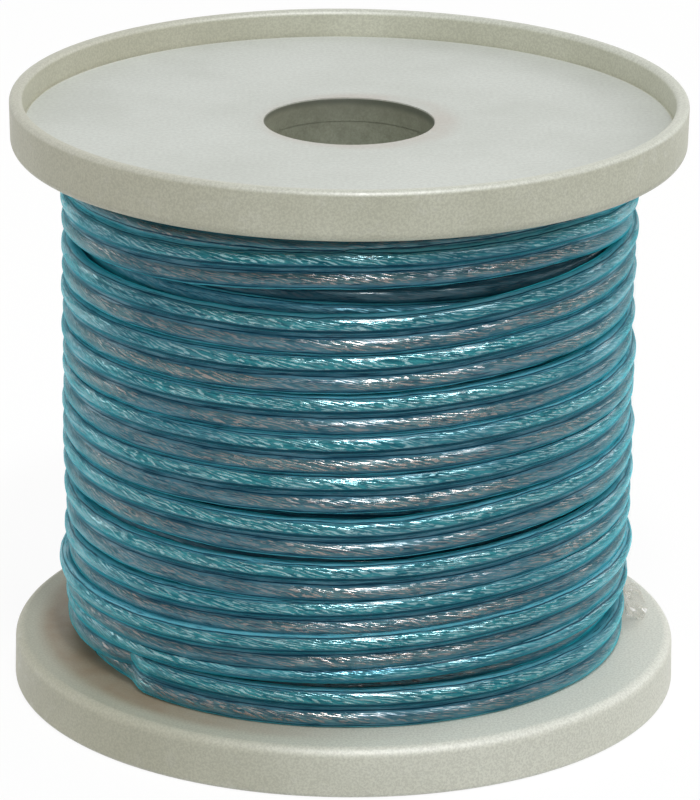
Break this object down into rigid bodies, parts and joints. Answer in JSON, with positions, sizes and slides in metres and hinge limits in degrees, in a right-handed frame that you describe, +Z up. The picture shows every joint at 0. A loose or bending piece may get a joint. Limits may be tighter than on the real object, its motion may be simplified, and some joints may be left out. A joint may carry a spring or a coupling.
{
  "type": "cable spool",
  "caption": "Moulded plastic spool with a dished flange at each end, wound with flat two-conductor cable in a clear blue-green jacket.",
  "frame": {"origin": "on the axis of the bore, in the plane that the lower rim stands on", "axes": "+Z up along the bore, -Y towards the front, where the outer layer of cable is seen to climb at the lower left"},
  "size_m": [0.132, 0.132, 0.12],
  "materials": {
    "spool_plastic": "satin",
    "tube_plastic": "matte",
    "label_paper": "satin",
    "shaded_jacket": "gloss",
    "jacket": "gloss",
    "tinned_copper": "satin",
    "bare_copper": "satin",
    "clear_film": "gloss"
  },
  "bodies": {
    "root": {"top_flange": "spool_plastic", "bottom_flange": "spool_plastic", "barrel": "spool_plastic", "arbor_tube": "tube_plastic", "top_label": "label_paper", "inner_layers": "shaded_jacket", "outer_layer": "jacket", "tinned_strands": "tinned_copper", "copper_strands": "bare_copper", "end_tape": "clear_film"}
  },
  "joints": []
}
